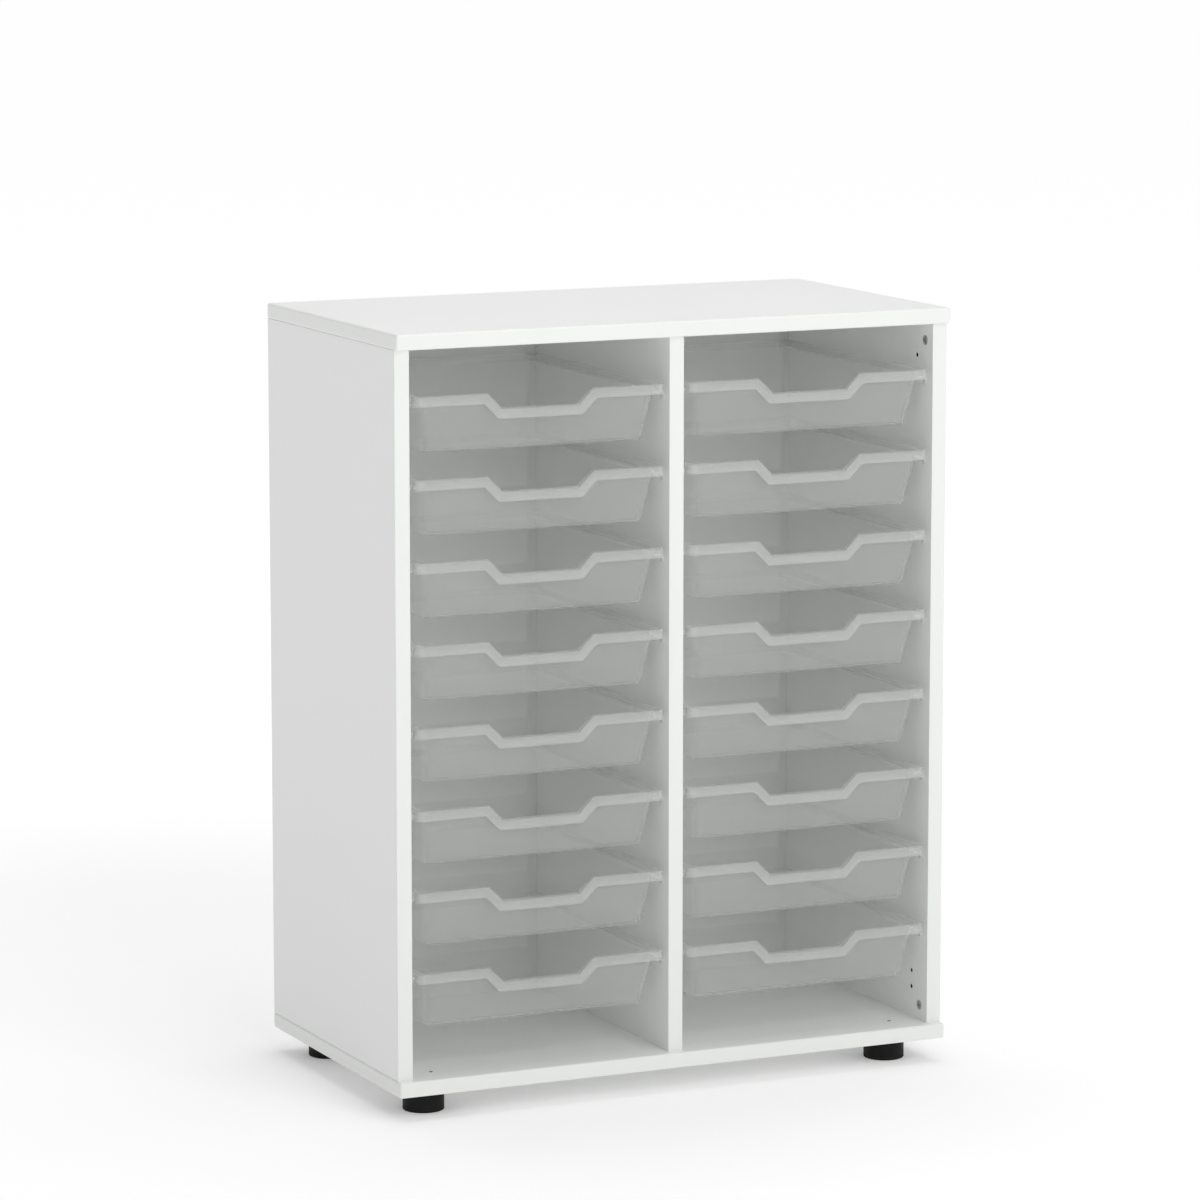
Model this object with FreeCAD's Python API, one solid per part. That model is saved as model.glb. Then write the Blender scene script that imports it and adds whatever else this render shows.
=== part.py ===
"""Classroom tray storage unit: a two-bay cabinet with sixteen trays on levelling feet.

Row frame in millimetres: +Z up, the open front faces -Y, +X to the right.
The origin is on the floor, under the centre of the cabinet.
"""
import FreeCAD
import Part
import math
import os

Vec = FreeCAD.Vector

NEAR = 0.01                  # how close counts as on a plane
CUT_CLEAR = 1.0              # how far a cutting tool runs past a face

# ---------------------------------------------------------------- carcass
board_width = 692.0          # top and bottom boards, left to right
board_depth = 385.0          # top and bottom boards, front to back
board_thickness = 18.0
carcass_height = 860.0       # underside of the bottom board to the top
side_inset = 1.0             # a side's outer face, in from a board's end
upright_setback = 8.8        # front edges of sides and divider, behind the boards' front
board_band = 3.0             # edging on the top and bottom boards
board_band_round = 2.6
board_band_joint = 0.1       # hairline between the edging strips at a corner
upright_band = 1.0           # edging on the front edges of sides and divider
upright_band_round = 0.7

back_thickness = 4.0
back_lip = 7.0               # board left behind the back panel's groove
groove_depth = 8.0
groove_clearance = 0.15      # each side of the back panel, and at its edges

# ---------------------------------------------------------------- trays
trays_per_bay = 8
tray_top_gap = 53.0          # top board's underside to the top tray's rim
tray_bottom_gap = 55.0       # lowest tray's base to the bottom board
tray_height = 65.0
tray_depth = 358.0           # over the rim, front to back
tray_rim_gap = 5.1           # rim to the bay's wall, each side
tray_proud = 0.8             # rim's front, ahead of the uprights' front edges
tray_wall = 2.0
tray_rim_corner = 8.0
tray_body_corner = 10.0
tray_base_round = 3.5
tray_edge_round = 0.8

rim_overhang_side = 10.4     # rim's outer edge to the body, at the top
rim_overhang_front = 2.6
rim_overhang_rear = 4.0
side_draft = 0.117           # inward, per millimetre down
front_draft = 0.29
rear_draft = 0.117

skirt_front = 11.5           # height of the rim's downturned edge at the front
skirt_side = 9.0             # and along the sides and back, where it rests on the runners
skirt_wall = 1.8

dip_depth = 17.5             # handle dip in the front
dip_half_top = 64.0
dip_half_bottom = 46.5
dip_round = 3.0

# ---------------------------------------------------------------- runners
runner_wall = 2.0
runner_web_height = 10.0     # from the ledge's top down
runner_ledge = 14.0          # width of the ledge, from the bay's wall
runner_front_setback = 14.6  # behind the uprights' front edges
runner_rear_gap = 2.0        # to the back panel
runner_front_round = 4.0
runner_stop_height = 5.0     # lug that stops the tray at the back
runner_stop_length = 3.0
tray_stop_gap = 0.3
tray_seat_gap = 0.05         # under the skirt, above the ledge

runner_screw_count = 2
runner_screw_inset = 40.0    # from each end of the runner
screw_shank_radius = 1.75
screw_head_radius = 3.0
screw_head_depth = 1.5
runner_screw_bite = 8.0      # into the board
screw_slot_width = 0.8       # cross slot in the head
screw_slot_length = 3.4
screw_slot_depth = 1.0

# ---------------------------------------------------------------- board joints
cam_radius = 6.0
cam_depth = 11.0
cam_from_top = 21.0          # cam's axis to the top board's underside
cam_from_bottom = 18.0       # cam's axis to the bottom board's upper face
cam_from_front = 19.0        # behind the upright's front edge
cam_from_back = 42.0
cam_slot_width = 1.6
cam_slot_length = 8.0
cam_slot_depth = 1.5
bolt_radius = 2.5
bolt_bite = 11.0             # cam bolt's thread in the top or bottom board
dowel_radius = 4.0
dowel_bite = 12.0            # into the top or bottom board
dowel_reach = 18.0           # into the upright
dowel_from_front = 75.0
dowel_from_back = 95.0

pin_hole_radius = 2.5        # holes for the hinge plates of doors
pin_hole_depth = 12.0
pin_hole_from_front = 38.0
pin_hole_spacing = 19.2
pin_hole_low = 36.6          # lower one of the pair, above the bottom board
pin_hole_high = 40.0         # single hole, below the top board

back_screw_count = 3
back_screw_end = 120.0       # first and last screw, from the panel's edge
back_screw_bite = 18.0

# ---------------------------------------------------------------- feet
foot_height = 28.4
foot_radius = 23.7
foot_round = 1.6
foot_from_side = 51.2        # foot's centre, from the end of the bottom board
foot_from_front = 55.0
foot_from_back = 46.5
foot_seam = 0.3              # foot's top to the board at its stop

spindle_radius = 4.0
spindle_offset_x = 2.0       # spindle's axis towards the middle, from the foot's centre
spindle_offset_y = 17.0      # and towards the nearer long edge
spindle_fit = 0.08           # running clearance, all round
spindle_in_foot = 15.0
spindle_below_top = 5.0      # spindle's upper end, under the board's upper face
spindle_end_gap = 0.2
key_across = 4.0             # hexagon socket in the spindle's upper end
key_depth = 4.0
key_hole_radius = 2.5        # through the bottom board, above the spindle

insert_radius = 6.0
insert_depth = 13.5
insert_flange_radius = 8.0
insert_flange_depth = 1.0

guide_radius = 3.0           # two guide posts moulded on each foot
guide_height = 12.0
guide_fit = 0.1
guide_spread = 12.0
guide_back = 9.0             # from the foot's centre, away from the spindle

# ---------------------------------------------------------------- worked out
front = -board_depth / 2
rear = board_depth / 2
upright_front = front + upright_setback
bottom_under = foot_height
bottom_over = bottom_under + board_thickness
top_over = bottom_under + carcass_height
top_under = top_over - board_thickness
side_outer = board_width / 2 - side_inset
side_inner = side_outer - board_thickness
divider_half = board_thickness / 2
bay_centre = (side_inner + divider_half) / 2
bay_half = (side_inner - divider_half) / 2
back_rear = rear - back_lip
back_front = back_rear - back_thickness

trays_span = carcass_height - 2 * board_thickness - tray_top_gap - tray_bottom_gap
tray_pitch = (trays_span - tray_height) / (trays_per_bay - 1)
rim_half = bay_half - tray_rim_gap
rim_front = upright_front - tray_proud
rim_rear = rim_front + tray_depth
runner_front = upright_front + runner_front_setback
runner_rear = back_front - runner_rear_gap
spindle_top = bottom_over - spindle_below_top
foot_top = bottom_under - foot_seam


def box(x0, x1, y0, y1, z0, z1):
    """A block between two corners."""
    return Part.makeBox(x1 - x0, y1 - y0, z1 - z0, Vec(x0, y0, z0))


def rod(radius, start, direction, length):
    """A cylinder from a start point."""
    return Part.makeCylinder(radius, length, start, direction)


def rounded_wire(points, radii, place):
    """A closed wire through flat points, each corner rounded by its own radius.

    place turns a flat point (a, b) into a vector in space.
    """
    count = len(points)
    starts = []
    middles = []
    ends = []
    for i in range(count):
        before = points[i - 1]
        here = points[i]
        after = points[(i + 1) % count]
        radius = radii[i]
        back = (before[0] - here[0], before[1] - here[1])
        ahead = (after[0] - here[0], after[1] - here[1])
        back_length = math.hypot(*back)
        ahead_length = math.hypot(*ahead)
        back = (back[0] / back_length, back[1] / back_length)
        ahead = (ahead[0] / ahead_length, ahead[1] / ahead_length)
        if radius <= 0:
            starts.append(here)
            ends.append(here)
            middles.append(None)
            continue
        half = math.acos(back[0] * ahead[0] + back[1] * ahead[1]) / 2
        run = radius / math.tan(half)
        bisector = (back[0] + ahead[0], back[1] + ahead[1])
        bisector_length = math.hypot(*bisector)
        reach = radius / math.sin(half) - radius
        starts.append((here[0] + back[0] * run, here[1] + back[1] * run))
        ends.append((here[0] + ahead[0] * run, here[1] + ahead[1] * run))
        middles.append((here[0] + bisector[0] / bisector_length * reach,
                        here[1] + bisector[1] / bisector_length * reach))
    edges = []
    for i in range(count):
        if middles[i] is not None:
            edges.append(Part.Arc(place(*starts[i]), place(*middles[i]), place(*ends[i])).toShape())
        leave = place(*ends[i])
        arrive = place(*starts[(i + 1) % count])
        if leave.distanceToPoint(arrive) > NEAR:
            edges.append(Part.LineSegment(leave, arrive).toShape())
    return Part.Wire(edges)


def rounded_rectangle(x0, x1, y0, y1, z, radius):
    """A level wire with rounded corners."""
    corners = [(x0, y0), (x1, y0), (x1, y1), (x0, y1)]
    return rounded_wire(corners, [radius] * 4, lambda a, b: Vec(a, b, z))


def rounded_block(x0, x1, y0, y1, z0, z1, radius):
    """An upright prism with rounded corners."""
    face = Part.Face(rounded_rectangle(x0, x1, y0, y1, z0, radius))
    return face.extrude(Vec(0, 0, z1 - z0))


def front_profile(points, radii, y0, y1):
    """A prism along Y from a profile drawn in X and Z."""
    face = Part.Face(rounded_wire(points, radii, lambda a, b: Vec(a, y0, b)))
    return face.extrude(Vec(0, y1 - y0, 0))


def edges_where(shape, test):
    """The edges whose centre point passes a test."""
    return [edge for edge in shape.Edges if test(edge.BoundBox.Center, edge.BoundBox)]


# ---------------------------------------------------------------- places of repeated parts
def upright_faces():
    """Inner faces that carry runners: (x, direction into the board, bay side)."""
    return [(-side_inner, -1), (-divider_half, 1), (divider_half, -1), (side_inner, 1)]


def rim_tops():
    """Heights of the tray rims, from the top down."""
    return [top_under - tray_top_gap - i * tray_pitch for i in range(trays_per_bay)]


def runner_screw_places():
    """Screws along a runner, as Y values."""
    first = runner_front + runner_screw_inset
    last = runner_rear - runner_screw_inset
    step = (last - first) / (runner_screw_count - 1)
    return [first + step * i for i in range(runner_screw_count)]


def runner_screw_height(rim_top):
    """A runner screw's axis: midway between the ledge and the web's lower edge."""
    ledge_top = rim_top - skirt_side - tray_seat_gap
    return ledge_top - (runner_wall + runner_web_height) / 2


def upright_places():
    """Uprights: centre in X and the direction that their cams face."""
    side_centre = (side_outer + side_inner) / 2
    return [(-side_centre, 1), (0.0, 1), (side_centre, -1)]


def cam_places():
    """Front and rear cams, as Y values."""
    return [upright_front + cam_from_front, back_front - cam_from_back]


def dowel_places():
    """Front and rear dowels, as Y values."""
    return [upright_front + dowel_from_front, back_front - dowel_from_back]


def board_ends():
    """Joint planes of an upright: (height, direction into the upright, cam distance)."""
    return [(bottom_over, 1, cam_from_bottom), (top_under, -1, cam_from_top)]


def foot_places():
    """Feet: name, centre, and the directions of X and Y outwards."""
    x = board_width / 2 - foot_from_side
    y_front = front + foot_from_front
    y_rear = rear - foot_from_back
    return [("front_left", -x, y_front, -1, -1), ("front_right", x, y_front, 1, -1),
            ("rear_left", -x, y_rear, -1, 1), ("rear_right", x, y_rear, 1, 1)]


def spindle_place(x, y, side, end):
    """A spindle's axis beside its foot's centre."""
    return x - side * spindle_offset_x, y + end * spindle_offset_y


def guide_places(x, y, end):
    """The two guide posts of a foot."""
    return [(x - guide_spread, y - end * guide_back), (x + guide_spread, y - end * guide_back)]


def back_screw_heights():
    """Screws that hold the back panel to the divider."""
    first = bottom_over + back_screw_end
    last = top_under - back_screw_end
    step = (last - first) / (back_screw_count - 1)
    return [first + step * i for i in range(back_screw_count)]


# ---------------------------------------------------------------- boards
def board_joint_holes(z_plane, into):
    """Holes for cam bolts and dowels in the top or bottom board."""
    holes = []
    for x, _ in upright_places():
        for y in cam_places():
            holes.append(rod(bolt_radius, Vec(x, y, z_plane), Vec(0, 0, into), bolt_bite))
        for y in dowel_places():
            holes.append(rod(dowel_radius, Vec(x, y, z_plane), Vec(0, 0, into), dowel_bite))
    return holes


def back_groove(z0, z1):
    """The groove that takes an edge of the back panel, along X."""
    reach = side_inner + groove_depth
    return box(-reach, reach, back_front - groove_clearance, back_rear + groove_clearance, z0, z1)


def board_core(z0):
    """A top or bottom board inside its edging."""
    x = board_width / 2 - board_band
    return box(-x, x, front + board_band, rear - board_band, z0, z0 + board_thickness)


def board_edging(z0):
    """Four strips around a board: front and back over the ends of the side strips."""
    x = board_width / 2
    x_in = x - board_band
    y_in = rear - board_band
    y_end = y_in - board_band_joint
    z1 = z0 + board_thickness
    whole = rounded_block(-x, x, front, rear, z0, z1, board_band)
    level = edges_where(whole, lambda c, b: b.ZLength < NEAR)
    whole = whole.makeFillet(board_band_round, level)
    strips = [box(-x, x, front, -y_in, z0, z1), box(-x, x, y_in, rear, z0, z1),
              box(-x, -x_in, -y_end, y_end, z0, z1), box(x_in, x, -y_end, y_end, z0, z1)]
    return [whole.common(strip) for strip in strips]


def top_panel():
    """Top board with blind holes and the back panel's groove below."""
    cuts = board_joint_holes(top_under, 1)
    cuts.append(back_groove(top_under - CUT_CLEAR, top_under + groove_depth))
    return board_core(top_under).cut(cuts)


def bottom_panel():
    """Bottom board with joint holes, groove, and the feet's inserts, guides and key holes."""
    cuts = board_joint_holes(bottom_over, -1)
    cuts.append(back_groove(bottom_over - groove_depth, bottom_over + CUT_CLEAR))
    up = Vec(0, 0, 1)
    for _, x, y, side, end in foot_places():
        sx, sy = spindle_place(x, y, side, end)
        under = Vec(sx, sy, bottom_under)
        cuts.append(rod(insert_flange_radius, under, up, insert_flange_depth))
        cuts.append(rod(insert_radius, under, up, insert_depth))
        cuts.append(rod(key_hole_radius, under, up, board_thickness + CUT_CLEAR))
        for gx, gy in guide_places(x, y, end):
            cuts.append(rod(guide_radius + guide_fit, Vec(gx, gy, bottom_under), up,
                            guide_height + guide_fit))
    return board_core(bottom_under).cut(cuts)


def upright_cuts(centre, cam_side):
    """Cam housings, bolt holes and dowel holes in both ends of an upright."""
    cuts = []
    cam_face = centre + cam_side * board_thickness / 2
    for z_plane, into, cam_distance in board_ends():
        cam_height = z_plane + into * cam_distance
        up = Vec(0, 0, into)
        for y in cam_places():
            cuts.append(rod(cam_radius, Vec(cam_face, y, cam_height), Vec(-cam_side, 0, 0), cam_depth))
            cuts.append(rod(bolt_radius, Vec(centre, y, z_plane), up, cam_distance))
        for y in dowel_places():
            cuts.append(rod(dowel_radius, Vec(centre, y, z_plane), up, dowel_reach))
    return cuts


def runner_screw_holes(face_x, into):
    """Pilot holes for the runner screws in one face of an upright."""
    holes = []
    for rim_top in rim_tops():
        z = runner_screw_height(rim_top)
        for y in runner_screw_places():
            holes.append(rod(screw_shank_radius, Vec(face_x, y, z), Vec(into, 0, 0),
                             runner_screw_bite))
    return holes


def pin_holes(side):
    """Holes for hinge plates in a side's inner face."""
    holes = []
    y = upright_front + pin_hole_from_front
    low = bottom_over + pin_hole_low
    for z in (low, low + pin_hole_spacing, top_under - pin_hole_high):
        holes.append(rod(pin_hole_radius, Vec(side * side_inner, y, z), Vec(side, 0, 0),
                         pin_hole_depth))
    return holes


def side_panel(side):
    """A side board: -1 left, 1 right."""
    centre = side * (side_outer + side_inner) / 2
    x0 = centre - board_thickness / 2
    core = box(x0, x0 + board_thickness, upright_front + upright_band, rear, bottom_over, top_under)
    cuts = upright_cuts(centre, -side)
    cuts += runner_screw_holes(side * side_inner, side)
    cuts += pin_holes(side)
    groove_in = side * (side_inner - CUT_CLEAR)
    groove_out = side * (side_inner + groove_depth)
    cuts.append(box(min(groove_in, groove_out), max(groove_in, groove_out),
                    back_front - groove_clearance, back_rear + groove_clearance,
                    bottom_over, top_under))
    return core.cut(cuts)


def centre_divider():
    """The upright between the bays, in front of the back panel."""
    core = box(-divider_half, divider_half, upright_front + upright_band,
               back_front - groove_clearance, bottom_over, top_under)
    cuts = upright_cuts(0.0, 1)
    cuts += runner_screw_holes(-divider_half, 1)
    cuts += runner_screw_holes(divider_half, -1)
    rear_face = back_front - groove_clearance
    for z in back_screw_heights():
        cuts.append(rod(screw_shank_radius, Vec(0, rear_face, z), Vec(0, -1, 0), back_screw_bite))
    return core.cut(cuts)


def upright_edging(centre):
    """Edging on an upright's front edge."""
    x0 = centre - board_thickness / 2
    strip = box(x0, x0 + board_thickness, upright_front, upright_front + upright_band,
                bottom_over, top_under)
    long_edges = edges_where(
        strip, lambda c, b: abs(c.y - upright_front) < NEAR and b.ZLength > board_thickness)
    return strip.makeFillet(upright_band_round, long_edges)


def back_panel():
    """Thin back panel, held in the grooves and screwed to the divider."""
    reach_x = side_inner + groove_depth - groove_clearance
    z0 = bottom_over - groove_depth + groove_clearance
    z1 = top_under + groove_depth - groove_clearance
    panel = box(-reach_x, reach_x, back_front, back_rear, z0, z1)
    cuts = []
    for z in back_screw_heights():
        cuts += back_screw_cavity(z)
    return panel.cut(cuts)


def back_screw_cavity(z):
    """Countersunk hole in the back panel."""
    head = Part.makeCone(screw_head_radius, screw_shank_radius, screw_head_depth,
                         Vec(0, back_rear, z), Vec(0, -1, 0))
    shank = rod(screw_shank_radius, Vec(0, back_rear, z), Vec(0, -1, 0),
                back_thickness + groove_clearance)
    return [head, shank]


# ---------------------------------------------------------------- fittings
def cross_slot(start, direction, width, length, depth):
    """The two crossing cuts of a driver's slot, from a face inwards."""
    turned = FreeCAD.Placement(start, FreeCAD.Rotation(Vec(0, 0, 1), direction))
    cuts = []
    for x, y in ((length / 2, width / 2), (width / 2, length / 2)):
        cut = box(-x, x, -y, y, 0, depth)
        cut.Placement = turned.multiply(cut.Placement)
        cuts.append(cut)
    return cuts


def screw(start, direction, length):
    """A countersunk screw with its flat head at the start point."""
    head = Part.makeCone(screw_head_radius, screw_shank_radius, screw_head_depth, start, direction)
    shank = rod(screw_shank_radius, start, direction, length)
    slot = cross_slot(start, direction, screw_slot_width, screw_slot_length, screw_slot_depth)
    return head.fuse(shank).removeSplitter().cut(slot)


def runner_screws():
    """All the screws that hold the runners."""
    screws = []
    for face_x, into in upright_faces():
        for rim_top in rim_tops():
            z = runner_screw_height(rim_top)
            for y in runner_screw_places():
                start = Vec(face_x - into * runner_wall, y, z)
                screws.append(screw(start, Vec(into, 0, 0), runner_wall + runner_screw_bite))
    return screws


def back_panel_screws():
    """Screws through the back panel into the divider."""
    length = back_thickness + groove_clearance + back_screw_bite
    return [screw(Vec(0, back_rear, z), Vec(0, -1, 0), length) for z in back_screw_heights()]


def cam(centre_x, face_dir, y, z, bolt_dir):
    """A cam housing with a cross slot in its face and a mouth for the bolt's head."""
    face = Vec(centre_x + face_dir * board_thickness / 2, y, z)
    inward = Vec(-face_dir, 0, 0)
    mouth = rod(bolt_radius, Vec(centre_x, y, z), Vec(0, 0, bolt_dir), cam_radius + CUT_CLEAR)
    slot = cross_slot(face, inward, cam_slot_width, cam_slot_length, cam_slot_depth)
    return rod(cam_radius, face, inward, cam_depth).cut([mouth] + slot)


def cam_housings():
    """The cams of all three uprights."""
    cams = []
    for centre, cam_side in upright_places():
        for z_plane, into, cam_distance in board_ends():
            for y in cam_places():
                cams.append(cam(centre, cam_side, y, z_plane + into * cam_distance, -into))
    return cams


def cam_bolts():
    """Bolts from the boards into the cams."""
    bolts = []
    for centre, _ in upright_places():
        for z_plane, into, cam_distance in board_ends():
            for y in cam_places():
                start = Vec(centre, y, z_plane - into * bolt_bite)
                bolts.append(rod(bolt_radius, start, Vec(0, 0, into), bolt_bite + cam_distance))
    return bolts


def dowels():
    """Wooden dowels between boards and uprights."""
    pins = []
    for centre, _ in upright_places():
        for z_plane, into, _ in board_ends():
            for y in dowel_places():
                start = Vec(centre, y, z_plane - into * dowel_bite)
                pins.append(rod(dowel_radius, start, Vec(0, 0, into), dowel_bite + dowel_reach))
    return pins


# ---------------------------------------------------------------- runners
def runner(face_x, into, rim_top):
    """One runner: a ledge over a web that is screwed to the bay's wall, with a stop at the back."""
    ledge_top = rim_top - skirt_side - tray_seat_gap
    ledge_under = ledge_top - runner_wall
    web_x = face_x - into * runner_wall
    lip_x = face_x - into * runner_ledge
    web_under = ledge_top - runner_web_height
    web = box(min(face_x, web_x), max(face_x, web_x), runner_front, runner_rear,
              web_under, ledge_top)
    ledge = box(min(face_x, lip_x), max(face_x, lip_x), runner_front, runner_rear,
                ledge_under, ledge_top)
    stop_front = rim_rear + tray_stop_gap
    stop = box(min(face_x, lip_x), max(face_x, lip_x), stop_front,
               stop_front + runner_stop_length, ledge_under, ledge_top + runner_stop_height)
    shape = web.fuse([ledge, stop]).removeSplitter()
    lead_in = edges_where(
        shape, lambda c, b: abs(c.y - runner_front) < NEAR and abs(c.x - lip_x) < NEAR
        and b.ZLength > NEAR)
    web_corner = edges_where(
        shape, lambda c, b: abs(c.y - runner_front) < NEAR and abs(c.z - web_under) < NEAR)
    shape = shape.makeFillet(runner_front_round, lead_in + web_corner)
    cuts = []
    z = runner_screw_height(rim_top)
    for y in runner_screw_places():
        start = Vec(web_x, y, z)
        inward = Vec(into, 0, 0)
        cuts.append(Part.makeCone(screw_head_radius, screw_shank_radius, screw_head_depth,
                                  start, inward))
        cuts.append(rod(screw_shank_radius, start, inward, runner_wall))
    return shape.cut(cuts)


def runner_pair(bay, rim_top):
    """The two runners that carry one tray: bay -1 left, 1 right."""
    faces = upright_faces()
    pair = faces[:2] if bay < 0 else faces[2:]
    return [runner(face_x, into, rim_top) for face_x, into in pair]


# ---------------------------------------------------------------- trays
def tray_section(below_rim, inset, radius):
    """The body's outline at a height under the rim, drawn in by a wall."""
    x = rim_half - rim_overhang_side - side_draft * below_rim - inset
    y0 = rim_front + rim_overhang_front + front_draft * below_rim + inset
    y1 = rim_rear - rim_overhang_rear - rear_draft * below_rim - inset
    return rounded_rectangle(-x, x, y0, y1, -below_rim, radius - inset)


def tray_body(inset, top, bottom, base_round):
    """The tapered body between two heights under the rim, with a rounded base."""
    lower = tray_section(bottom, inset, tray_body_corner)
    upper = tray_section(top, inset, tray_body_corner)
    solid = Part.makeLoft([lower, upper], True, True)
    base = edges_where(solid, lambda c, b: abs(b.ZMax + bottom) < NEAR)
    return solid.makeFillet(base_round, base)


def dip_points(drop, reach):
    """The rim line across the front, moved down square to itself by drop."""
    slope = math.atan2(dip_depth, dip_half_top - dip_half_bottom)
    shift = drop * math.tan(slope / 2)
    top = dip_half_top + shift
    low = dip_half_bottom + shift
    return [(-reach, -drop), (-top, -drop), (-low, -dip_depth - drop),
            (low, -dip_depth - drop), (top, -drop), (reach, -drop)]


def dip_band(upper_drop, lower_drop, reach, y0, y1):
    """A band that follows the rim line, between two drops."""
    upper = dip_points(upper_drop, reach)
    lower = dip_points(lower_drop, reach)
    radii = [0] + [dip_round] * 4 + [0]
    return front_profile(upper + lower[::-1], radii + radii, y0, y1)


def rim_line(x):
    """Height of the rim across the front, at a distance from the middle."""
    slope = dip_depth / (dip_half_top - dip_half_bottom)
    return -min(max((dip_half_top - abs(x)) * slope, 0.0), dip_depth)


def on_rim_edge(centre, bounds):
    """Whether an edge lies along the upper outer edge of the rim."""
    if bounds.YLength < NEAR and abs(centre.y - rim_front) < NEAR:
        return abs(centre.z - rim_line(centre.x)) < dip_round / 2
    if bounds.ZLength > NEAR or abs(centre.z) > NEAR:
        return False
    outside = abs(bounds.XMin) > rim_half - NEAR or bounds.XMax > rim_half - NEAR
    return outside or abs(centre.y - rim_rear) < NEAR


def tray():
    """One tray, centred in X, with its rim's top at zero height."""
    lip_inner = rim_front + skirt_wall
    dip_rear = rim_front + rim_overhang_front + front_draft * dip_depth + tray_wall + CUT_CLEAR
    flat_reach = rim_half - tray_rim_corner - CUT_CLEAR
    body = tray_body(0.0, 0.0, tray_height, tray_base_round)
    rim = rounded_block(-rim_half, rim_half, rim_front, rim_rear, -skirt_side, 0, tray_rim_corner)
    brow = rounded_block(-rim_half, rim_half, rim_front, rim_rear, -skirt_front, 0, tray_rim_corner)
    brow = brow.common(box(-rim_half, rim_half, rim_front, rim_front + tray_rim_corner,
                           -skirt_front, 0))
    lip = dip_band(0.0, skirt_front, flat_reach, rim_front, dip_rear)
    blank = body.fuse([rim, brow, lip])
    hollow_rim = rounded_block(-rim_half + skirt_wall, rim_half - skirt_wall, lip_inner,
                               rim_rear - skirt_wall, -skirt_front - CUT_CLEAR, -tray_wall,
                               tray_rim_corner - skirt_wall)
    under_lip = dip_band(tray_wall, skirt_front + dip_depth, flat_reach, lip_inner, dip_rear)
    flange = dip_band(0.0, tray_wall, rim_half, rim_front, dip_rear)
    hollow_rim = hollow_rim.cut([body, flange])
    under_lip = under_lip.cut(body)
    above = [(flat_reach, CUT_CLEAR), (-flat_reach, CUT_CLEAR)]
    gap = front_profile(dip_points(0.0, flat_reach) + above,
                        [0] + [dip_round] * 4 + [0, 0, 0], rim_front - CUT_CLEAR, dip_rear)
    inside = tray_body(tray_wall, -CUT_CLEAR, tray_height - tray_wall, tray_base_round)
    shape = blank.cut([hollow_rim, under_lip, gap, inside]).removeSplitter()
    return shape.makeFillet(tray_edge_round, edges_where(shape, on_rim_edge))


# ---------------------------------------------------------------- feet
def foot(x, y, side, end):
    """A round foot with a bore for its spindle and two guide posts."""
    body = rod(foot_radius, Vec(x, y, 0), Vec(0, 0, 1), foot_top)
    body = body.makeFillet(foot_round, edges_where(body, lambda c, b: b.ZMax < NEAR))
    posts = []
    for gx, gy in guide_places(x, y, end):
        posts.append(rod(guide_radius, Vec(gx, gy, 0), Vec(0, 0, 1), foot_top + guide_height))
    sx, sy = spindle_place(x, y, side, end)
    bore = rod(spindle_radius + spindle_fit, Vec(sx, sy, foot_top - spindle_in_foot),
               Vec(0, 0, 1), spindle_in_foot + CUT_CLEAR)
    return body.fuse(posts).cut(bore)


def foot_spindle(x, y, side, end):
    """A spindle from its foot up into the insert, with a hexagon socket on top."""
    sx, sy = spindle_place(x, y, side, end)
    z0 = foot_top - spindle_in_foot + spindle_end_gap
    body = rod(spindle_radius, Vec(sx, sy, z0), Vec(0, 0, 1), spindle_top - z0)
    floor = spindle_top - key_depth
    sides = 6
    corner = key_across / 2 / math.cos(math.pi / sides)
    points = []
    for i in range(sides + 1):
        angle = 2 * math.pi * i / sides
        points.append(Vec(sx + corner * math.cos(angle), sy + corner * math.sin(angle), floor))
    socket = Part.Face(Part.makePolygon(points)).extrude(Vec(0, 0, key_depth + CUT_CLEAR))
    return body.cut(socket)


def foot_insert(x, y, side, end):
    """A threaded insert in the bottom board."""
    sx, sy = spindle_place(x, y, side, end)
    under = Vec(sx, sy, bottom_under)
    up = Vec(0, 0, 1)
    body = rod(insert_radius, under, up, insert_depth)
    flange = rod(insert_flange_radius, under, up, insert_flange_depth)
    bore = rod(spindle_radius + spindle_fit, under, up, insert_depth)
    return body.fuse(flange).cut(bore).removeSplitter()


# ---------------------------------------------------------------- export
def export(name, solids):
    """Write one node from its solids."""
    shapes = solids if isinstance(solids, list) else [solids]
    plain = []
    for shape in shapes:
        plain += shape.Solids
    for solid in plain:
        if not solid.isValid():
            print("invalid solid in", name)
    node = plain[0] if len(plain) == 1 else Part.makeCompound(plain)
    node.exportStep("parts/" + name + ".step")
    print(name, len(plain), round(sum(solid.Volume for solid in plain)))


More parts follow.
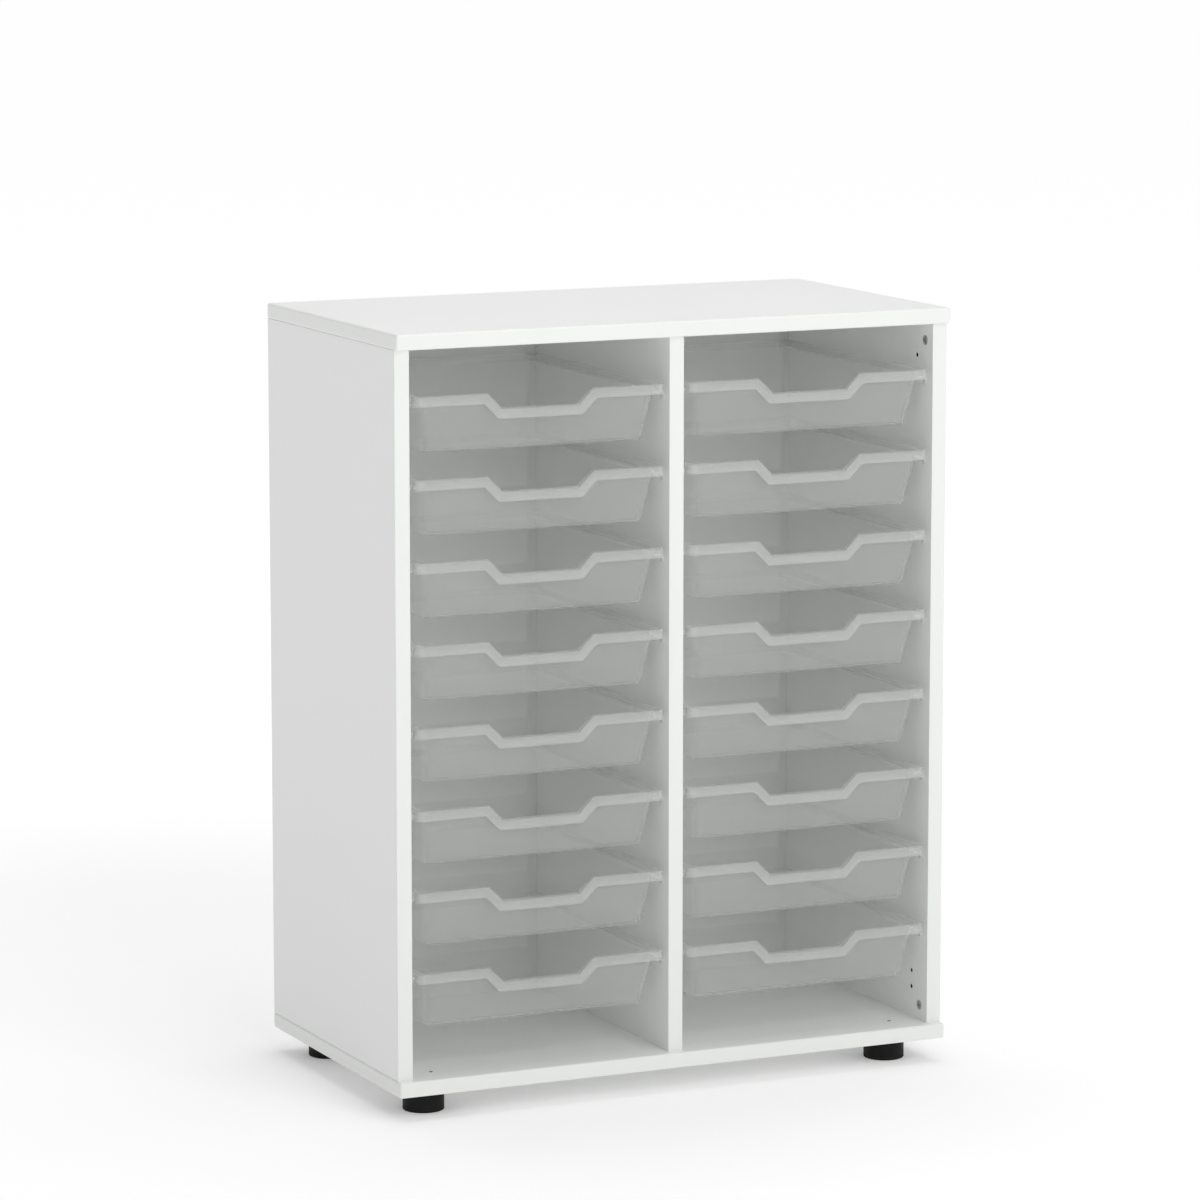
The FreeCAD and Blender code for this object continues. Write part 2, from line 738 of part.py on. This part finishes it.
def main():
    os.makedirs("parts", exist_ok=True)
    side_centre = (side_outer + side_inner) / 2
    export("top_panel", top_panel())
    export("bottom_panel", bottom_panel())
    export("left_side_panel", side_panel(-1))
    export("right_side_panel", side_panel(1))
    export("centre_divider", centre_divider())
    export("back_panel", back_panel())
    export("top_edging", board_edging(top_under))
    export("bottom_edging", board_edging(bottom_under))
    export("left_side_edging", upright_edging(-side_centre))
    export("right_side_edging", upright_edging(side_centre))
    export("divider_edging", upright_edging(0.0))
    export("cam_housings", cam_housings())
    export("cam_bolts", cam_bolts())
    export("dowels", dowels())
    export("runner_screws", runner_screws())
    export("back_panel_screws", back_panel_screws())
    one_tray = tray()
    for bay_name, bay in (("left", -1), ("right", 1)):
        for number, rim_top in enumerate(rim_tops(), start=1):
            placed = one_tray.translated(Vec(bay * bay_centre, 0, rim_top))
            export("tray_%s_%d" % (bay_name, number), placed)
            export("runners_%s_%d" % (bay_name, number), runner_pair(bay, rim_top))
    for name, x, y, side, end in foot_places():
        export("foot_" + name, foot(x, y, side, end))
        export("foot_spindle_" + name, foot_spindle(x, y, side, end))
    export("foot_inserts", [foot_insert(x, y, side, end) for _, x, y, side, end in foot_places()])


main()
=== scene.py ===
"""Classroom tray storage unit: finishes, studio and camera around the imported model, in metres."""

import math

import bpy
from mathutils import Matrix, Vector


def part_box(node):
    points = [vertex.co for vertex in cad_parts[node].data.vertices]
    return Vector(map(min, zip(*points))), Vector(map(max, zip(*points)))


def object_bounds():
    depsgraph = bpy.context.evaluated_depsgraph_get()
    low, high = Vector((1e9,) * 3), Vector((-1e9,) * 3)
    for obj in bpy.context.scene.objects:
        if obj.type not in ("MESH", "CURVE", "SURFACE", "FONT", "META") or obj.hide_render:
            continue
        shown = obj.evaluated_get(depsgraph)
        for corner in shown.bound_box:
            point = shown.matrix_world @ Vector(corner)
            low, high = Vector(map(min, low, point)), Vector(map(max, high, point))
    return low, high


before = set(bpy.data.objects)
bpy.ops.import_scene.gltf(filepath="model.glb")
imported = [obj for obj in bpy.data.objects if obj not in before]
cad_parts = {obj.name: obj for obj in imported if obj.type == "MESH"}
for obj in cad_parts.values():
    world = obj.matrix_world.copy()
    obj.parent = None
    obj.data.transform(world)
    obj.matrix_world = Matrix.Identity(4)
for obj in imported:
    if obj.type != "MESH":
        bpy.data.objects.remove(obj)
cad_low, cad_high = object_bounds()

BOARDS = ("top_panel", "bottom_panel", "left_side_panel", "right_side_panel", "centre_divider")
EDGINGS = ("top_edging", "bottom_edging", "left_side_edging", "right_side_edging", "divider_edging")

# Colours, as linear red, green and blue.
WHITE = (0.885, 0.892, 0.885)
WHITE_DEEP = (0.860, 0.868, 0.860)
EDGE_WHITE = (0.855, 0.87, 0.853)
EDGE_WHITE_DEEP = (0.825, 0.838, 0.823)
BACK_WHITE = (0.82, 0.825, 0.82)
BACK_WHITE_DEEP = (0.79, 0.795, 0.79)
# Raw chipboard in the drilled holes, painted far darker than the chips are as painted shade of the deep
# holes.
CHIP_SHADED = (0.05, 0.035, 0.020)
CHIP_SHADED_DARK = (0.012, 0.008, 0.005)
FROST = (0.87, 0.88, 0.87)
FROST_DEEP = (0.84, 0.855, 0.84)
# The tray's front is the same plastic as its walls, painted darker as painted shade, and its rim band is
# painted lighter as painted light.
FRONT_FROST_PAINTED_SHADE = (0.51, 0.52, 0.51)
FRONT_FROST_PAINTED_SHADE_DEEP = (0.47, 0.48, 0.47)
RIM_FROST_PAINTED_LIGHT = (0.69, 0.70, 0.69)
RIM_FROST_PAINTED_LIGHT_DEEP = (0.65, 0.66, 0.65)
RUNNER = (0.87, 0.88, 0.87)
RUNNER_DEEP = (0.84, 0.85, 0.84)
# The runner's front end, painted grey as painted shade.
RUNNER_FRONT_PAINTED_SHADE = (0.60, 0.605, 0.60)
BLACK = (0.004, 0.004, 0.004)
BLACK_WORN = (0.010, 0.010, 0.010)
DUST = (0.03, 0.028, 0.026)
ZINC = (0.66, 0.66, 0.65)
ZINC_DARK = (0.42, 0.42, 0.415)
STEEL = (0.56, 0.55, 0.52)
STEEL_DARK = (0.25, 0.245, 0.23)
BEECH = (0.56, 0.36, 0.20)
BEECH_DARK = (0.38, 0.22, 0.11)
# Blackened steel for the foot spindles, kept near black also as painted shade of the key holes they sit in.
SPINDLE = (0.06, 0.06, 0.063)
SPINDLE_DARK = (0.02, 0.02, 0.021)
BRASS = (0.66, 0.45, 0.17)
BRASS_DARK = (0.36, 0.22, 0.08)

# White paper on the floor, and how much it glows as painted light under the unit, beside it and far from it;
# the dimmer glow under the unit is a painted shadow.
PAPER = (0.88, 0.88, 0.88)
PAPER_DEEP = (0.86, 0.86, 0.86)
GLOW_UNDER = (0.12, 0.12, 0.12)
GLOW_BESIDE = (0.24, 0.24, 0.24)
GLOW_FAR = (0.55, 0.55, 0.55)

# Trays, in metres: how far the front leans back for each metre down, and a margin above the rim.
FRONT_DRAFT = 0.29
FRONT_MARGIN = 0.005
# How far behind the front's face its milkier plastic, painted darker as painted shade, and its rim band,
# painted lighter as painted light, start and end to fade, in metres.
FRONT_DEPTH = (0.0045, 0.0080)
RIM_LIGHT_DEPTH = (0.0020, 0.0024)
# The share of light that passes one face of a tray's wall, and what cloud, the front and rubbing take off it.
WALL_CLEAR = 0.930
CLOUD_MILK = 0.010
FRONT_MILK = 0.19
RUB_MILK = 0.03
# The least that a wall counts as facing the eye, so that its edges stay frosted and don't turn solid.
LEAST_FACING = 0.55

# Under a board's face, how deep its chips start to show and are bare, in metres, and how rough they are.
CHIP_DEPTH = (0.00015, 0.00035)
CHIP_ROUGHNESS = 0.92
CHIP_RELIEF = 8
# Behind a runner's front end, where its part greyed as painted shade fades out, in metres.
RUNNER_PAINTED_SHADE_REACH = (0.002, 0.007)
# How high above the floor a foot is scuffed and dusty, in metres.
FOOT_DUST_HEIGHT = 0.012

# The paper, in metres: its reach, the soft edge of the painted shadow under the unit, and where its far glow
# starts and is full.
FLOOR_REACH = 60.0
SHADE_EDGE = 0.05
GLOW_REACH = (0.6, 3.2)

# The studio, in metres, watts and degrees. The room's light goes by direction, from the left at -1.
MIDDLE = (0.0, 0.0, 0.45)
SOFTBOX_SIZE = 3.0
FRONT_SOFTBOX = {"place": (0.6, -4.3, 2.9), "watts": 65.0, "colour": (1.0, 1.0, 0.985)}
TOP_SOFTBOX = {"place": (0.1, 0.2, 3.6), "watts": 42.0, "colour": (1.0, 1.0, 1.0)}
ROOM_LIGHT = {"From Min": -1.0, "From Max": 0.2, "To Min": 0.39, "To Max": 0.55}
CAMERA_PLACE = (-2.6494, -5.6589, 1.5288)
CAMERA_TILT = 81.045
CAMERA_TURN = -25.007
# The lens and its sensor, in millimetres.
LENS = 163.11
SENSOR = 36.0


class Shade:
    """A socket of a node tree that is worked with like a number."""

    def __init__(self, tree, socket):
        self.tree = tree
        self.socket = socket

    def maths(self, operation, *values):
        return self.tree.node("ShaderNodeMath", {"operation": operation}, dict(enumerate(values)))

    def __add__(self, other):
        return self.maths("ADD", self, other)

    def __radd__(self, other):
        return self.maths("ADD", other, self)

    def __sub__(self, other):
        return self.maths("SUBTRACT", self, other)

    def __rsub__(self, other):
        return self.maths("SUBTRACT", other, self)

    def __mul__(self, other):
        return self.maths("MULTIPLY", self, other)

    def __rmul__(self, other):
        return self.maths("MULTIPLY", other, self)

    def __truediv__(self, other):
        return self.maths("DIVIDE", self, other)

    def __rtruediv__(self, other):
        return self.maths("DIVIDE", other, self)

    def __pow__(self, other):
        return self.maths("POWER", self, other)

    def __rpow__(self, other):
        return self.maths("POWER", other, self)

    def __mod__(self, other):
        return self.maths("MODULO", self, other)

    def __abs__(self):
        return self.maths("ABSOLUTE", self)

    def least(self, other):
        return self.maths("MINIMUM", self, other)

    def most(self, other):
        return self.maths("MAXIMUM", self, other)

    def rise(self, low, high):
        """Goes smoothly from 0 at low to 1 at high."""
        settings = {"interpolation_type": "SMOOTHSTEP"}
        sockets = {"Value": self, "From Min": low, "From Max": high, "To Min": 0.0, "To Max": 1.0}
        return self.tree.node("ShaderNodeMapRange", settings, sockets)


class Finish:
    """A material: its node tree, its Principled shader and the patterns that finishes share."""

    def __init__(self, name):
        self.material = bpy.data.materials.new(name)
        self.material.use_nodes = True
        self.nodes = self.material.node_tree.nodes
        self.links = self.material.node_tree.links
        self.shader = self.nodes["Principled BSDF"]
        self.place = self.node("ShaderNodeTexCoord", {}, {}, "Object")

    def node(self, kind, settings, sockets, output=0):
        """Adds a node of that kind: its settings first, then the values or links of its sockets."""
        made = self.nodes.new(kind)
        for name, value in settings.items():
            setattr(made, name, value)
        for name, value in sockets.items():
            self.put(made.inputs[name], value)
        return Shade(self, made.outputs[output])

    def put(self, socket, value):
        if isinstance(value, Shade):
            self.links.new(value.socket, socket)
        else:
            socket.default_value = value

    def set(self, **values):
        """Sets the shader's sockets, named as in the shader with _ for a space."""
        for name, value in values.items():
            opaque = isinstance(value, tuple)
            self.put(self.shader.inputs[name.replace("_", " ")], (*value, 1.0) if opaque else value)

    def stretched(self, x, y, z):
        """Places scaled by x, y and z."""
        return self.node("ShaderNodeVectorMath", {"operation": "MULTIPLY"}, {0: self.place, 1: (x, y, z)})

    def noise(self, pitch, detail=2.0, rough=0.5, place=None):
        """Even noise about 0 to 1 whose lumps are about pitch metres wide."""
        sockets = {"Vector": place or self.place, "Scale": 1 / pitch, "Detail": detail, "Roughness": rough}
        return self.node("ShaderNodeTexNoise", {}, sockets, "Fac")

    def cells(self, pitch):
        """Round cells about pitch metres wide: 0 in the middle of each, more towards its edge."""
        return self.node("ShaderNodeTexVoronoi", {}, {"Vector": self.place, "Scale": 1 / pitch}, "Distance")

    def mixed(self, share, first, second):
        """A colour that goes from the first to the second as share goes from 0 to 1."""
        colours = [(*c, 1.0) if isinstance(c, tuple) else c for c in (first, second)]
        return self.node("ShaderNodeMix", {"data_type": "RGBA"}, {0: share, 6: colours[0], 7: colours[1]}, 2)

    def parts(self, vector):
        """The x, y and z of a vector."""
        made = self.node("ShaderNodeSeparateXYZ", {}, {0: vector})
        return [Shade(self, output) for output in made.socket.node.outputs]

    def bump(self, height, distance):
        """Relief of a height from 0 to 1, distance metres deep."""
        sockets = {"Strength": 1.0, "Distance": distance, "Height": height}
        self.set(Normal=self.node("ShaderNodeBump", {}, sockets))

    def scratches(self, along, across, pitch):
        """Short fine scratches that run one way, 0 to 1."""
        stretch = [across if side == along else 1.0 for side in "xyz"]
        return self.noise(pitch, 3.0, 0.6, self.stretched(*stretch)).rise(0.66, 0.74)


def board_core(finish, node):
    """1 inside the board, where a drilled hole shows its chips, and 0 on its faces."""
    low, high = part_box(node)
    offsets = finish.node(
        "ShaderNodeVectorMath", {"operation": "SUBTRACT"}, {0: finish.place, 1: tuple((low + high) / 2)}
    )
    depth = None
    for offset, half in zip(finish.parts(offsets), (high - low) / 2):
        under_face = half - abs(offset)
        depth = under_face if depth is None else depth.least(under_face)
    return depth.rise(*CHIP_DEPTH)


def board_finish(node):
    """White melamine board: pearled face, faint cloud and rub marks, and raw chips inside its holes, painted
    dark as painted shade of the deep holes.
    """
    finish = Finish(node + "_melamine")
    core = board_core(finish, node)
    cloud = finish.noise(0.16, 3.0)
    pearl = finish.noise(0.0011, 2.0, 0.6)
    rub = finish.scratches("z", 0.05, 0.0035) * finish.noise(0.09).rise(0.5, 0.75)
    face = finish.mixed(0.55 * cloud + 0.45 * pearl, WHITE_DEEP, WHITE)
    # Raw chips, painted dark as painted shade of the deep holes.
    chips = finish.mixed(finish.noise(0.0022, 2.0, 0.7).rise(0.35, 0.65), CHIP_SHADED_DARK, CHIP_SHADED)
    finish.set(Base_Color=finish.mixed(core, face, chips))
    smooth = 0.36 + 0.10 * cloud + 0.06 * pearl + 0.14 * rub
    finish.set(Roughness=smooth + core * (CHIP_ROUGHNESS - smooth))
    finish.bump(pearl * (1 - core) + finish.noise(0.002, 3.0, 0.7) * core * CHIP_RELIEF, 0.00006)
    return finish.material


def edging_finish(name):
    """Plastic edge band: a little smoother than the board, with fine lines from its trimmer."""
    finish = Finish(name)
    cloud = finish.noise(0.05, 2.0)
    grain = finish.noise(0.0007, 2.0, 0.6)
    trim = finish.noise(0.0009, 2.0, 0.5, finish.stretched(1.0, 0.02, 1.0))
    nicks = finish.noise(0.004, 2.0).rise(0.70, 0.76)
    finish.set(Base_Color=finish.mixed(0.6 * cloud + 0.4 * grain, EDGE_WHITE_DEEP, EDGE_WHITE))
    finish.set(Roughness=0.30 + 0.10 * cloud + 0.08 * trim + 0.12 * nicks)
    finish.bump(0.6 * grain + 0.4 * trim, 0.00004)
    return finish.material


def back_finish():
    """Lacquered hardboard: matt, with the soft waves of its roller."""
    finish = Finish("white_lacquered_back")
    cloud = finish.noise(0.22, 3.0)
    roller = finish.noise(0.0016, 2.0, 0.5, finish.stretched(1.0, 1.0, 0.35))
    finish.set(Base_Color=finish.mixed(0.7 * cloud + 0.3 * roller, BACK_WHITE_DEEP, BACK_WHITE))
    finish.set(Roughness=0.50 + 0.14 * cloud + 0.08 * roller)
    finish.bump(roller, 0.00007)
    return finish.material


def frosted_finish():
    """Frosted polypropylene: milky cloud and fine mould texture, milkier on the front and its rim, with the
    front painted darker as painted shade and its rim band painted lighter as painted light.
    """
    finish = Finish("frosted_tray_plastic")
    low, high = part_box("tray_left_1")
    pitch = high.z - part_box("tray_left_2")[1].z
    _, y, z = finish.parts(finish.place)
    below_rim = (high.z + FRONT_MARGIN - z) % pitch - FRONT_MARGIN
    behind_front = y - low.y - FRONT_DRAFT * below_rim
    # The front mask sets the milkier front and its painted shade; the rim mask sets the rim band's painted
    # light.
    front = 1 - behind_front.rise(*FRONT_DEPTH)
    rim = 1 - behind_front.rise(*RIM_LIGHT_DEPTH)
    cloud = finish.noise(0.055, 3.0, 0.55)
    grain = finish.noise(0.0008, 2.0, 0.6)
    flow = finish.noise(0.012, 2.0, 0.5, finish.stretched(0.25, 1.0, 1.0))
    rub = finish.scratches("x", 0.10, 0.0022) * finish.noise(0.045).rise(0.48, 0.70) * front
    milk = 0.6 * cloud + 0.4 * flow
    # Painted shade and painted light: the front is painted darker than the walls and its rim band lighter.
    wall = finish.mixed(milk, FROST_DEEP, FROST)
    face = finish.mixed(milk, FRONT_FROST_PAINTED_SHADE_DEEP, FRONT_FROST_PAINTED_SHADE)
    face = finish.mixed(rim, face, finish.mixed(milk, RIM_FROST_PAINTED_LIGHT_DEEP, RIM_FROST_PAINTED_LIGHT))
    finish.set(Base_Color=finish.mixed(front, wall, face))
    finish.set(Roughness=0.34 + 0.12 * cloud + 0.07 * grain + 0.12 * rub)
    slant = finish.node("ShaderNodeLayerWeight", {}, {"Blend": 0.5}, "Facing")
    clear = WALL_CLEAR - CLOUD_MILK * cloud - front * (FRONT_MILK + RUB_MILK * rub)
    finish.set(Alpha=1 - clear ** (1 / (1 - slant).most(LEAST_FACING)))
    finish.set(IOR=1.49)
    finish.bump(0.7 * grain + 0.3 * flow, 0.00006)
    return finish.material


def runner_finish():
    """White extruded plastic: fine lines along it, a track rubbed smooth and a front end greyed as painted
    shade.
    """
    finish = Finish("runner_plastic_extruded")
    cloud = finish.noise(0.04, 2.0)
    lines = finish.noise(0.0006, 2.0, 0.6, finish.stretched(1.0, 0.02, 1.0))
    track = finish.scratches("y", 0.03, 0.0016)
    _, y, _ = finish.parts(finish.place)
    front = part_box("runners_left_1")[0].y
    fade = [front + reach for reach in RUNNER_PAINTED_SHADE_REACH]
    # Painted shade: the runner's front end is greyed and a little rougher.
    greying = (1 - y.rise(*fade)) * (0.8 + 0.2 * cloud)
    plastic = finish.mixed(0.6 * cloud + 0.4 * lines, RUNNER_DEEP, RUNNER)
    finish.set(Base_Color=finish.mixed(greying, plastic, RUNNER_FRONT_PAINTED_SHADE))
    finish.set(Roughness=0.34 + 0.10 * cloud + 0.10 * lines - 0.10 * track + 0.15 * greying)
    finish.bump(0.7 * lines + 0.3 * track, 0.00005)
    return finish.material


def foot_finish():
    """Black moulded plastic: spark-eroded texture, scuffed and dusty towards the floor."""
    finish = Finish("black_foot_plastic")
    _, _, height = finish.parts(finish.place)
    grain = finish.noise(0.0008, 2.0, 0.6)
    cloud = finish.noise(0.02, 3.0)
    low_down = 1 - height.rise(0.0, FOOT_DUST_HEIGHT)
    scuff = finish.scratches("x", 0.2, 0.002) * (0.25 + 0.75 * low_down)
    greying = finish.mixed(0.5 * cloud + 0.5 * scuff, BLACK, BLACK_WORN)
    finish.set(Base_Color=finish.mixed(low_down * cloud * 0.35, greying, DUST))
    finish.set(Roughness=0.46 + 0.12 * cloud + 0.10 * grain + 0.12 * low_down)
    finish.set(Specular_IOR_Level=0.2)
    finish.bump(0.8 * grain + 0.2 * cloud, 0.00008)
    return finish.material


def metal_finish(name, bright, dark, rough, pitch):
    """Plated or turned metal: its crystals or tool marks, and darker spots where the surface has dulled."""
    finish = Finish(name)
    cloud = finish.noise(0.004, 3.0)
    grain = finish.cells(pitch)
    spots = finish.noise(0.0012, 2.0).rise(0.62, 0.74)
    finish.set(Base_Color=finish.mixed(0.5 * cloud + 0.3 * grain + 0.3 * spots, bright, dark))
    finish.set(Metallic=1.0, Roughness=rough + 0.14 * cloud + 0.12 * spots)
    finish.bump(0.6 * grain + 0.4 * cloud, 0.00003)
    return finish.material


def lacquered_finish():
    """White lacquer on steel: a faint orange peel, chipped to the metal in spots by the driver."""
    finish = Finish("white_lacquered_steel")
    peel = finish.noise(0.0005, 2.0, 0.6)
    cloud = finish.noise(0.006, 2.0)
    chips = finish.noise(0.0011, 3.0, 0.6).rise(0.68, 0.74)
    finish.set(Base_Color=finish.mixed(chips, finish.mixed(cloud, EDGE_WHITE_DEEP, EDGE_WHITE), STEEL_DARK))
    finish.set(Metallic=chips, Roughness=0.30 + 0.10 * cloud + 0.12 * chips)
    finish.bump(peel - 0.5 * chips, 0.00003)
    return finish.material


def beech_finish():
    """Turned beech: straight grain along the dowel with short flecks."""
    finish = Finish("beech_dowel_wood")
    grain = finish.noise(0.0010, 3.0, 0.6, finish.stretched(1.0, 1.0, 0.06))
    flecks = finish.noise(0.0006, 2.0, 0.5, finish.stretched(1.0, 1.0, 0.2)).rise(0.62, 0.70)
    finish.set(Base_Color=finish.mixed(0.6 * grain + 0.4 * flecks, BEECH, BEECH_DARK))
    finish.set(Roughness=0.58 + 0.16 * grain)
    finish.bump(grain, 0.00008)
    return finish.material


def floor_finish():
    """White studio paper lit by its own painted glow: dimmer under the unit as a painted shadow, and glowing
    to an even white well away from it.
    """
    finish = Finish("studio_paper")
    x, y, _ = finish.parts(finish.place)
    away = (x ** 2 + y ** 2) ** 0.5
    fibre = finish.noise(0.003, 3.0)
    finish.set(Base_Color=finish.mixed(fibre, PAPER_DEEP, PAPER))
    finish.set(Roughness=0.9, Specular_IOR_Level=0.0, Emission_Strength=1.0)
    # Painted shadow and painted light: the glow is dimmed under the unit and raised beside it.
    past_side = abs(x).rise(cad_high.x - SHADE_EDGE, cad_high.x + SHADE_EDGE)
    past_front = abs(y).rise(cad_high.y - SHADE_EDGE, cad_high.y + SHADE_EDGE)
    near = finish.mixed(past_side.most(past_front), GLOW_UNDER, GLOW_BESIDE)
    finish.set(Emission_Color=finish.mixed(away.rise(*GLOW_REACH), near, GLOW_FAR))
    return finish.material


def dress():
    """Gives every CAD node its finish."""
    finishes = {node: board_finish(node) for node in BOARDS}
    edging = edging_finish("white_edge_band")
    finishes.update({node: edging for node in EDGINGS})
    feet = foot_finish()
    frosted, runner = frosted_finish(), runner_finish()
    zinc = metal_finish("zinc_cam_casting", ZINC, ZINC_DARK, 0.38, 0.0009)
    steel = metal_finish("plated_steel", STEEL, STEEL_DARK, 0.26, 0.0006)
    # Blackened steel spindles, near black also as painted shade of their key holes.
    spindle = metal_finish("blackened_steel", SPINDLE, SPINDLE_DARK, 0.40, 0.0006)
    brass = metal_finish("turned_brass", BRASS, BRASS_DARK, 0.24, 0.0006)
    finishes.update(back_panel=back_finish(), cam_housings=zinc, dowels=beech_finish(), foot_inserts=brass)
    finishes.update(runner_screws=lacquered_finish())
    by_start = {"tray_": frosted, "runners_": runner, "foot_spindle_": spindle, "foot_": feet}
    for node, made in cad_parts.items():
        finish = finishes.get(node)
        if finish is None:
            found = [value for start, value in by_start.items() if node.startswith(start)]
            finish = found[0] if found else steel
        for place in made.material_slots:
            place.material = finish


def floor():
    """A wide sheet of paper under the unit."""
    corners = [(FLOOR_REACH * x, FLOOR_REACH * y, 0) for x, y in ((-1, -1), (1, -1), (1, 1), (-1, 1))]
    mesh = bpy.data.meshes.new("studio_floor")
    mesh.from_pydata(corners, [], [(0, 1, 2, 3)])
    made = bpy.data.objects.new("studio_floor", mesh)
    bpy.context.scene.collection.objects.link(made)
    mesh.materials.append(floor_finish())


def softbox(name, place, watts, colour):
    """A square soft light that looks at the unit's middle."""
    light = bpy.data.lights.new(name, "AREA")
    light.shape = "SQUARE"
    light.size = SOFTBOX_SIZE
    light.energy = watts
    light.color = colour
    made = bpy.data.objects.new(name, light)
    bpy.context.scene.collection.objects.link(made)
    made.location = place
    made.rotation_euler = (Vector(MIDDLE) - made.location).to_track_quat("-Z", "Y").to_euler()


def room():
    """An even pale room, a little dimmer on the left, that the camera sees as white."""
    world = bpy.data.worlds.new("studio_room")
    world.use_nodes = True
    nodes, links = world.node_tree.nodes, world.node_tree.links
    direction = nodes.new("ShaderNodeTexCoord")
    parts = nodes.new("ShaderNodeSeparateXYZ")
    light = nodes.new("ShaderNodeMapRange")
    ray = nodes.new("ShaderNodeLightPath")
    shown = nodes.new("ShaderNodeMath")
    shown.operation = "MAXIMUM"
    for name, value in ROOM_LIGHT.items():
        light.inputs[name].default_value = value
    nodes["Background"].inputs["Color"].default_value = (1.0, 1.0, 1.0, 1.0)
    links.new(direction.outputs["Generated"], parts.inputs[0])
    links.new(parts.outputs[0], light.inputs["Value"])
    links.new(light.outputs[0], shown.inputs[0])
    links.new(ray.outputs["Is Camera Ray"], shown.inputs[1])
    links.new(shown.outputs[0], nodes["Background"].inputs["Strength"])
    return world


def studio():
    """The room, with one large soft light in front and one overhead."""
    scene = bpy.context.scene
    scene.world = room()
    scene.view_settings.view_transform = "Standard"
    scene.cycles.diffuse_bounces = 12
    scene.cycles.max_bounces = 16
    scene.cycles.transparent_max_bounces = 48
    softbox("front_softbox", **FRONT_SOFTBOX)
    softbox("top_softbox", **TOP_SOFTBOX)


def camera():
    """The main view, from the front left and a little above."""
    lens = bpy.data.cameras.new("main_view")
    lens.lens = LENS
    lens.sensor_width = SENSOR
    made = bpy.data.objects.new("main_view", lens)
    made.location = CAMERA_PLACE
    made.rotation_euler = (math.radians(CAMERA_TILT), 0.0, math.radians(CAMERA_TURN))
    bpy.context.scene.collection.objects.link(made)
    bpy.context.scene.camera = made


dress()
floor()
studio()
camera()
